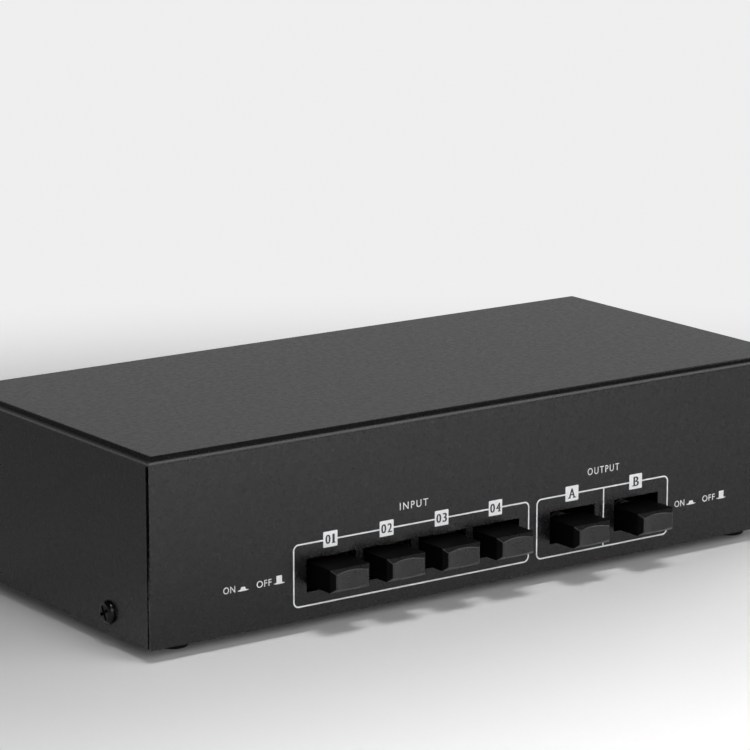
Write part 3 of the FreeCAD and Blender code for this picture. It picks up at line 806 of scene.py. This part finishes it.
@dataclass
class ButtonCaps:
    """Six push-button caps with a bevelled front and a hollow face."""

    inset: float = 1.3 * MM
    bevel: float = 1.5 * MM
    hollow_radius: float = 22 * MM
    hollow_sides: int = 360
    hollow_depth: float = 0.6 * MM
    edge: float = 0.22 * MM

    def build(self, paints: Paints) -> None:
        """Moulds the first cap and copies it to the other buttons."""
        first = self._cap()
        home = centre_of(f"{UNITS[0]}_cap")
        for unit in UNITS:
            centre = centre_of(f"{unit}_cap")
            cap = first.copy(f"{unit}_button_cap", Matrix.Translation(centre - home))
            cap.deliver(paints.get("cap"), f"{unit}_button", "cap_plastic", [f"{unit}_cap"])
            # painted shade: faces turned sideways or up take the near-black, dull plastic that stands in for
            # shade
            cap.refinish(lambda c, n: abs(n.x) > 0.55 or n.z > 0.9, paints.get("cap_painted_shade"))
        bpy.data.objects.remove(first.thing)

    def _cap(self) -> Workpiece:
        """The first button's cap, in its place."""
        low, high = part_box(f"{UNITS[0]}_cap")
        width, height = high.x - low.x, high.z - low.z
        shoulder = low.y + self.bevel
        cap = Workpiece.block("cap", (low.x, shoulder, low.z), high)
        factors = (1 - 2 * self.inset / width, 1, 1 - 2 * self.inset / height)
        cap.pull(lambda c, n: n.y < -0.5, (0, -self.bevel, 0), factors)
        centre = (low + high) / 2
        axis_y = low.y + self.hollow_depth - self.hollow_radius
        ends = [(centre.x, axis_y, z) for z in (low.z - MM, high.z + MM)]
        cap.carve(Workpiece.rod("hollow", *ends, self.hollow_radius, self.hollow_sides))
        return cap.soften(self.edge, steps=3, angle=25)


FIGURE_WIDTHS = {"0": 0.36, "1": 0.25, "4": 0.35, "A": 0.62, "B": 0.52}
FIGURE_FEET: dict[str, tuple[Spot, ...]] = {
    "1": ((-0.25, 1.3),),
    "4": ((0.4, 1.05),),
    "A": ((-0.12, 0.3), (0.62, 1.12)),
    "B": ((-0.18, 0.4),),
}


@dataclass
class Print:
    """White screen print on one side of the case.

    Args:
        facing: the side that it is on.
        plane: Y of the painted surface.
        thickness: how far the ink stands out.
    """

    facing: Facing
    plane: float
    thickness: float = 0.03 * MM
    line: float = 0.45 * MM
    corner: float = 1.9 * MM
    tag_corner: float = 0.28 * MM
    tag_lift: float = 0.02 * MM
    stress: float = 0.07
    slab: float = 0.07
    letter_height: float = 0.64
    digit_height: float = 0.58
    digit_gap: float = 0.09
    plain_width: float = 0.33
    pieces: list[Workpiece] = field(default_factory=list)
    tags: list[Workpiece] = field(default_factory=list)
    knockouts: list[Workpiece] = field(default_factory=list)

    @property
    def outward(self) -> float:
        """Sign of Y on the outer side of the surface."""
        return -1.0 if self.facing is Facing.FRONT else 1.0

    def plate(self, name: str, centre: Spot, size: Spot, lift: float = 0.0) -> Workpiece:
        """Thin upright plate of ink.

        Args:
            name: the object's name.
            centre: its X and Z.
            size: its width and height.
            lift: how far it lies above the first coat.

        Returns:
            The plate, with square corners.
        """
        inner = self.plane + self.outward * (lift - self.thickness / 2)
        outer = self.plane + self.outward * (lift + self.thickness)
        ys = sorted((inner, outer))
        x, z = centre
        half_width, half_height = size[0] / 2, size[1] / 2
        low = (x - half_width, ys[0], z - half_height)
        high = (x + half_width, ys[1], z + half_height)
        return Workpiece.block(name, low, high)

    def round_plate(self, name: str, centre: Spot, size: Spot, radius: float, lift: float = 0.0) -> Workpiece:
        """Plate of ink with round corners."""
        plate = self.plate(name, centre, size, lift)
        return plate.round_edges(lambda a, b: near(a.x, b.x) and near(a.z, b.z), radius, 8)

    def outline(self, low: Spot, high: Spot) -> None:
        """Rounded rectangle of line between two corners in X and Z."""
        centre = ((low[0] + high[0]) / 2, (low[1] + high[1]) / 2)
        size = (high[0] - low[0], high[1] - low[1])
        ring = self.round_plate("outline", centre, size, self.corner)
        inner_size = (size[0] - 2 * self.line, size[1] - 2 * self.line)
        hole = self.round_plate("hole", centre, inner_size, self.corner - self.line)
        hole.shift(Matrix.Diagonal((1, 3, 1, 1)) @ Matrix.Translation((0, -2 / 3 * self.plane, 0)))
        self.pieces.append(ring.carve(hole))

    def stroke(self, low: Spot, high: Spot) -> None:
        """Straight line that fills the rectangle between two corners in X and Z."""
        centre = ((low[0] + high[0]) / 2, (low[1] + high[1]) / 2)
        self.pieces.append(self.plate("stroke", centre, (high[0] - low[0], high[1] - low[1])))

    def words(self, letters: Workpiece, centre: Spot, size: Spot, lift: float = 0.0) -> Workpiece:
        """Lays letters on the surface so that they fill a rectangle.

        Args:
            letters: letters in the plane of X and Y.
            centre: X and Z of the rectangle's middle.
            size: its width and height.
            lift: how far they lie above the first coat.

        Returns:
            The letters.
        """
        corners = [Vector(corner) for corner in letters.thing.bound_box]
        low = Vector(min(corner[i] for corner in corners) for i in range(3))
        high = Vector(max(corner[i] for corner in corners) for i in range(3))
        extent = high - low
        factors = (size[0] / extent.x, size[1] / extent.y, 1.5 * self.thickness / extent.z, 1)
        upright = Matrix.Rotation(math.pi / 2, 4, "X")
        turned = Matrix.Rotation(0 if self.facing is Facing.FRONT else math.pi, 4, "Z")
        middle = self.plane + self.outward * (lift + self.thickness / 4)
        place = Matrix.Translation((centre[0], middle, centre[1]))
        scale = Matrix.Diagonal(factors) @ Matrix.Translation(-(low + high) / 2)
        return letters.shift(place @ turned @ upright @ scale)

    def write(self, text: str, centre: Spot, size: Spot, tracking: float = 1.1) -> None:
        """Prints letters on the surface."""
        self.pieces.append(self.words(Workpiece.lettering(text, 0.0, tracking), centre, size))

    def tag(self, text: str, centre: Spot, size: Spot) -> None:
        """White tag with knocked-out figures that have heavy uprights and slab feet.

        Args:
            text: one letter, or two digits.
            centre: X and Z of its middle.
            size: its width and height.
        """
        self.tags.append(self.round_plate("tag", centre, size, self.tag_corner, self.tag_lift))
        height = (self.digit_height if len(text) == 2 else self.letter_height) * size[1]
        widths = [FIGURE_WIDTHS.get(figure, self.plain_width) * size[0] for figure in text]
        gap = self.digit_gap * size[0]
        reading = -self.outward
        x = centre[0] - reading * (sum(widths) + gap * (len(text) - 1)) / 2
        for figure, width in zip(text, widths):
            letter = Workpiece.lettering(figure, self.stress, 1.0)
            self._add_feet(letter, figure)
            middle = (x + reading * width / 2, centre[1])
            self.knockouts.append(self.words(letter, middle, (width, height), 1.5 * self.tag_lift))
            x += reading * (width + gap)

    def _add_feet(self, letter: Workpiece, figure: str) -> None:
        """Adds slab feet to the figures that have an upright or a leg to stand on."""
        xs = sorted(vertex.co.x for vertex in letter.thing.data.vertices)
        low, high = xs[0], xs[-1]
        width = high - low
        for left, right in FIGURE_FEET.get(figure, ()):
            corner = (low + left * width, 0.0, -0.5)
            opposite = (low + right * width, self.slab, 0.5)
            letter.fuse(Workpiece.block("slab", corner, opposite))

    def deliver(self, paints: Paints) -> None:
        """Joins the marks by ink and hands them over."""
        sets = (
            ("lines", self.pieces, "ink"),
            ("tags", self.tags, "tag_ink"),
            ("tag_figures", self.knockouts, "knockout"),
        )
        for kind, marks, ink in sets:
            whole = marks[0].join(marks[1:])
            whole.thing.name = whole.thing.data.name = f"{self.facing.value}_{kind}"
            whole.deliver(paints.get(ink), CASE, "lid_paint" if self.facing is Facing.FRONT else "pan_paint")


@dataclass
class FrontMarks:
    """Frames, tags and switch signs on the front."""

    frame_low: float = 8 * MM
    frame_high: float = 27 * MM
    input_left: float = -71.8 * MM
    input_right: float = 14.1 * MM
    output_left: float = 16.8 * MM
    output_right: float = 68.5 * MM
    divider: float = 42.85 * MM
    tag_shift: float = -0.35 * MM
    tag_width: float = 5.0 * MM
    tag_height: float = 4.7 * MM
    label_level: float = 32.6 * MM
    label_height: float = 2.2 * MM
    label_pitch: float = 2.05 * MM
    label_tracking: float = 1.3
    tag_rise: float = 0.1 * MM
    sign_height: float = 2.0 * MM
    sign_line: float = 0.45 * MM
    sign_panel: float = 2.0 * MM
    sign_point: float = 0.9 * MM
    sign_button: float = 1.9 * MM
    sign_overlap: float = 0.05 * MM
    sign_tip: float = 0.15
    sign_narrowing: float = 1.3 / 1.9
    sign_places: tuple[Spot, ...] = ((-95.7 * MM, 17.35 * MM), (71.3 * MM, 17.1 * MM))

    def build(self, paints: Paints) -> None:
        """Prints the front."""
        marks = Print(Facing.FRONT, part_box("top_cover")[0].y)
        marks.outline((self.input_left, self.frame_low), (self.input_right, self.frame_high))
        marks.outline((self.output_left, self.frame_low), (self.output_right, self.frame_high))
        half = marks.line / 2
        low = (self.divider - half, self.frame_low + half)
        marks.stroke(low, (self.divider + half, self.frame_high - half))
        tag_level = self.frame_high - half + self.tag_rise
        for unit, text in zip(UNITS, ("01", "02", "03", "04", "A", "B")):
            x = sum(corner.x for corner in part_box(f"{unit}_cap")) / 2 + self.tag_shift
            marks.tag(text, (x, tag_level), (self.tag_width, self.tag_height))
        for text, left, right in (
            ("INPUT", self.input_left, self.input_right),
            ("OUTPUT", self.output_left, self.output_right),
        ):
            size = (len(text) * self.label_pitch, self.label_height)
            marks.write(text, ((left + right) / 2, self.label_level), size, self.label_tracking)
        for left, level in self.sign_places:
            self._signs(marks, left, level)
        marks.deliver(paints)

    def _signs(self, marks: Print, left: float, level: float) -> None:
        """ON with a pressed button and OFF with a raised one, from a left edge."""
        for word, middle, width, button, height in (
            ("ON", 2.0 * MM, 4.0 * MM, 6.7 * MM, 0.8 * MM),
            ("OFF", 13.9 * MM, 5.1 * MM, 19.1 * MM, 2.1 * MM),
        ):
            marks.write(word, (left + middle, level), (width, self.sign_height))
            self._button_sign(marks, left + button, level, height)

    def _button_sign(self, marks: Print, x: float, level: float, height: float) -> None:
        """Side view of a button on its panel, with pointed ends to the panel's line."""
        bottom = level - self.sign_height / 2
        line = self.sign_line
        panel = marks.plate("panel_sign", (x, bottom + line / 2), (self.sign_panel, line))
        for hand in (-1, 1):
            panel.pull(lambda c, n: n.x * hand > 0.5, (hand * self.sign_point, 0, 0), (1, 1, self.sign_tip))
        marks.pieces.append(panel)
        middle = bottom + line + height / 2 - self.sign_overlap
        button = marks.plate("button_sign", (x, middle), (self.sign_button, height))
        if height < MM:
            button.taper(lambda c, n: n.z > 0.5, (self.sign_narrowing, 1, 1))
        marks.pieces.append(button)


@dataclass
class RearMarks:
    """Frames, figures and polarity signs round the terminal posts."""

    frame_width: float = 32.6 * MM
    frame_low: float = 13.6 * MM
    frame_high: float = 51 * MM
    tag_size: float = 4.8 * MM
    sign: float = 2.2 * MM
    sign_line: float = 0.5 * MM
    side_letter: Spot = (1.5 * MM, 2.3 * MM)

    def build(self, paints: Paints) -> None:
        """Prints the rear panel."""
        marks = Print(Facing.REAR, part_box("base_pan")[1].y)
        for unit, text in zip(UNITS, ("1", "2", "3", "4", "A", "B")):
            self._group(marks, unit, text)
        marks.deliver(paints)

    def _group(self, marks: Print, unit: str, text: str) -> None:
        """Marks of one group of four posts."""
        posts = {
            (side, colour): centre_of(f"{unit}_{side}_{colour}_knob")
            for side in SIDES
            for colour in COLOURS
        }
        x = (posts["left", "red"].x + posts["right", "red"].x) / 2
        half = self.frame_width / 2
        marks.outline((x - half, self.frame_low), (x + half, self.frame_high))
        marks.tag(text, (x, self.frame_high), (self.tag_size, self.tag_size))
        for side in SIDES:
            place = (posts[side, "red"].x, (posts[side, "red"].z + posts[side, "black"].z) / 2)
            marks.write(side[0].upper(), place, self.side_letter)
        for colour in COLOURS:
            z = posts["left", colour].z
            long, short = self.sign / 2, self.sign_line / 2
            marks.stroke((x - long, z - short), (x + long, z + short))
            if colour == "red":
                marks.stroke((x - short, z - long), (x + short, z + long))


@dataclass
class Knobs:
    """Clamping knobs of the 24 terminal posts, fluted, with a dished end."""

    sides: int = 96
    flutes: int = 8
    flute_sides: int = 24
    flute_radius: float = 0.9 * MM
    flute_offset: float = 0.36 * MM
    ring: float = 3 * MM
    end_round: float = 0.6 * MM
    dish_radius: float = 3.1 * MM
    dish_border: float = 0.3 * MM
    dish_depth: float = 0.35 * MM
    bore: float = 2.57 * MM
    bore_depth: float = 12 * MM
    edge: float = 0.12 * MM

    def build(self, paints: Paints) -> None:
        """Moulds one knob and copies it to every post."""
        first = f"{UNITS[0]}_{SIDES[0]}_{COLOURS[0]}_knob"
        pattern = self._knob(first)
        home = centre_of(first)
        for unit in UNITS:
            for side in SIDES:
                for colour in COLOURS:
                    post = f"{unit}_{side}_{colour}"
                    centre = centre_of(f"{post}_knob")
                    knob = pattern.copy(f"{post}_grip", Matrix.Translation(centre - home))
                    knob.deliver(paints.get(colour), f"{post}_clamp", f"post_{colour}", [f"{post}_knob"])
        bpy.data.objects.remove(pattern.thing)

    def _knob(self, node: str) -> Workpiece:
        """A knob in the place of one node."""
        low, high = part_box(node)
        centre = (low + high) / 2
        radius = (high.x - low.x) / 2

        def is_end(spot: Vector, normal: Vector) -> bool:
            """Face of the knob's outer end."""
            return normal.y > 0.9 and near(spot.y, high.y)

        def is_foot(spot: Vector, normal: Vector) -> bool:
            """Face of the knob's inner end."""
            return normal.y < -0.9 and near(spot.y, low.y)

        def is_middle(spot: Vector) -> bool:
            """Spot on the knob's axis."""
            return math.hypot(spot.x - centre.x, spot.z - centre.z) < 0.1 * MM

        ends = [(centre.x, y, centre.z) for y in (low.y, high.y)]
        knob = Workpiece.rod("knob", *ends, radius, self.sides)
        knob.round_edges(lambda a, b: near(a.y, high.y) and near(b.y, high.y), self.end_round, 4)
        knob.inset(is_end, radius - self.end_round - self.dish_radius)
        knob.inset(lambda c, n: is_end(c, n) and is_middle(c), self.dish_border, self.dish_depth)
        knob.inset(is_foot, radius - self.bore)
        knob.pull(lambda c, n: is_foot(c, n) and is_middle(c), (0, self.bore_depth, 0))
        for number in range(self.flutes):
            angle = 2 * math.pi * (number + 0.5) / self.flutes
            reach = radius + self.flute_offset
            x, z = centre.x + reach * math.cos(angle), centre.z + reach * math.sin(angle)
            start, end = (x, low.y + self.ring, z), (x, high.y + MM, z)
            knob.carve(Workpiece.rod("flute", start, end, self.flute_radius, self.flute_sides))
        return knob.soften(self.edge, steps=2, angle=30)


KEPT_NODES = {
    "base_pan": "pan",
    "foot_screws": "zinc",
    "main_board": "board",
    "board_standoffs": "brass",
    "board_screws": "zinc",
    "input_switch_housings": "switch",
    "output_switch_housings": "switch",
    "input_switch_frame": "stamped",
    "interlock_bar": "stamped",
    "post_studs": "nickel",
    "post_nuts": "nickel",
    "post_insulators_black": "black",
    "post_insulators_red": "red",
    "terminal_board": "board",
    "board_connectors": "connector",
    **{f"{unit}_plunger": "nylon" for unit in UNITS},
    **{f"{unit}_spring": "wire" for unit in UNITS},
}


@dataclass
class Inside:
    """Nodes that keep their own shape and get a finish and, where they show, softer edges."""

    softened: tuple[str, ...] = ("base_pan", "post_insulators_black", "post_insulators_red", "foot_screws")
    edge: float = 0.14 * MM
    weld: float = 0.002 * MM
    sharp: float = 40.0

    def build(self, paints: Paints) -> None:
        """Dresses every node that no piece replaces."""
        for name, finish in KEPT_NODES.items():
            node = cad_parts[name]
            node.material_slots[0].material = paints.get(finish)
            if name in self.softened:
                weld = node.modifiers.new("Weld", "WELD")
                weld.merge_threshold = self.weld
                bevel = node.modifiers.new("Bevel", "BEVEL")
                bevel.width = self.edge
                bevel.segments = 2
                bevel.limit_method = "ANGLE"
                bevel.angle_limit = math.radians(self.sharp)
            log.info("%s: %s", name, finish)


@dataclass
class Lamp:
    """Soft rectangular lamp that points at the object.

    Args:
        name: the lamp's name.
        place: where it hangs.
        size: its width and height.
        power: its power in watts.
        target: the point that it faces.
        spread: the angle of its cone of light in degrees.
    """

    name: str
    place: Triple
    size: Spot
    power: float
    target: Triple = (0.0, 0.0, 0.03)
    spread: float = 180.0

    def build(self) -> None:
        """Hangs the lamp."""
        data = bpy.data.lights.new(self.name, "AREA")
        data.shape = "RECTANGLE"
        data.size, data.size_y = self.size
        data.energy = self.power
        data.spread = math.radians(self.spread)
        lamp = bpy.data.objects.new(self.name, data)
        lamp.visible_camera = False
        lamp.location = self.place
        toward = Vector(self.target) - Vector(self.place)
        lamp.rotation_euler = toward.to_track_quat("-Z", "Y").to_euler()
        bpy.context.scene.collection.objects.link(lamp)


@dataclass
class Studio:
    """Camera, pale floor, soft lamps and a plain sky.

    The sky's stops are pairs of an elevation in degrees and a level. The haze is a glow that the
    camera alone sees on the floor, from none at its start to all of it at its end, in metres from
    the object.
    """

    camera_place: Triple = (-0.61347, -0.85770, 0.29510)
    turn: float = -35.512
    dip: float = 12.724
    roll: float = 0.020
    lens: float = 167.64
    floor_side: float = 12.0
    floor_colour: Colour = (0.85, 0.85, 0.85)
    floor_cloud: float = 0.4
    floor_roughness: float = 0.9
    sky: tuple[tuple[float, float], ...] = ((3.0, 0.28), (12.0, 0.48), (17.0, 0.46), (24.0, 0.06))
    haze_start: float = 0.16
    haze_end: float = 0.42
    haze: float = 0.86
    lamps: tuple[Lamp, ...] = (
        Lamp("key_softbox", (-0.6, -1.2, 0.65), (0.7, 0.7), 4.6),
        Lamp("floor_softbox", (-0.12, -0.5, 1.1), (0.5, 0.5), 4.8, (-0.07, -0.7, 0.0), 72.0),
        Lamp("backdrop_softbox", (0.48, 0.66, 1.0), (0.5, 0.5), 1.4, (0.5, 0.74, 0.0), 70.0),
        Lamp("side_softbox", (0.7, -1.15, 0.61), (1.1, 0.62), 6.4),
        Lamp("rear_softbox", (1.2, 0.4, 0.34), (0.5, 0.4), 6.5),
        Lamp("strip_left", (-0.95, 1.1, 0.12), (1.0, 0.24), 0.7),
    )

    def build(self) -> None:
        """Sets up the studio."""
        self._camera()
        self._floor()
        self._sky()
        for lamp in self.lamps:
            lamp.build()

    def _camera(self) -> None:
        """Camera at the photograph's viewing angle."""
        data = bpy.data.cameras.new("camera")
        data.sensor_width = 36.0
        data.lens = self.lens
        data.clip_start = 0.01
        camera = bpy.data.objects.new("camera", data)
        camera.location = self.camera_place
        angles = (90.0 - self.dip, self.roll, self.turn)
        camera.rotation_euler = [math.radians(angle) for angle in angles]
        bpy.context.scene.collection.objects.link(camera)
        bpy.context.scene.camera = camera

    def _floor(self) -> None:
        """Large pale floor under the feet, which stays pale to the horizon."""
        bpy.ops.object.select_all(action="DESELECT")
        bpy.ops.mesh.primitive_plane_add(size=self.floor_side)
        floor = bpy.context.active_object
        floor.name = "floor"
        shader = Shader("floor_paper", self.floor_colour, self.floor_roughness)
        shader.shade(shader.noise(self.floor_cloud), self.floor_colour, scaled(self.floor_colour, 0.99))
        self._brighten(shader)
        floor.data.materials.append(shader.material)

    def _brighten(self, shader: Shader) -> None:
        """Lets the far floor glow for the camera alone."""
        seen = shader.add("ShaderNodeLightPath").outputs["Is Camera Ray"]
        away = shader.add("ShaderNodeVectorMath", operation="LENGTH")
        shader.feed(shader.place, away.inputs[0])
        fall = shader.add("ShaderNodeMapRange", interpolation_type="SMOOTHSTEP")
        shader.preset(fall, {"From Min": self.haze_start, "From Max": self.haze_end})
        shader.feed(away.outputs["Value"], fall.inputs["Value"])
        share = shader.add("ShaderNodeMath", operation="MULTIPLY")
        shader.feed(fall.outputs["Result"], share.inputs[0])
        shader.feed(seen, share.inputs[1])
        glow = shader.add("ShaderNodeEmission")
        glow.inputs["Strength"].default_value = self.haze
        blend = shader.add("ShaderNodeMixShader")
        shader.feed(share.outputs["Value"], blend.inputs["Fac"])
        shader.feed(shader.surface.outputs["BSDF"], blend.inputs[1])
        shader.feed(glow.outputs["Emission"], blend.inputs[2])
        shader.feed(blend.outputs["Shader"], shader.tree.nodes["Material Output"].inputs["Surface"])

    def _sky(self) -> None:
        """Sky with a pale band over the horizon and dark above it."""
        world = bpy.data.worlds.new("sky")
        world.use_nodes = True
        tree = world.node_tree
        toward = tree.nodes.new("ShaderNodeTexCoord")
        split = tree.nodes.new("ShaderNodeSeparateXYZ")
        ramp = tree.nodes.new("ShaderNodeValToRGB")
        ramp.color_ramp.interpolation = "EASE"
        stops = ramp.color_ramp.elements
        while len(stops) < len(self.sky):
            stops.new(1.0)
        for stop, (elevation, level) in zip(stops, self.sky):
            stop.position = math.sin(math.radians(elevation))
            stop.color = (level, level, level, 1.0)
        tree.links.new(toward.outputs["Generated"], split.inputs["Vector"])
        tree.links.new(split.outputs["Z"], ramp.inputs["Fac"])
        tree.links.new(ramp.outputs["Color"], tree.nodes["Background"].inputs["Color"])
        bpy.context.scene.world = world


def main() -> None:
    """Builds every sub-assembly in order."""
    logging.basicConfig(level=logging.INFO, format="%(message)s")
    bpy.context.scene.view_settings.view_transform = "Standard"
    paints = Paints()
    Studio().build()
    for part in (Lid(), SideScrews(), Feet(), ButtonCaps(), FrontMarks(), RearMarks(), Knobs(), Inside()):
        part.build(paints)


if __name__ == "__main__":
    main()
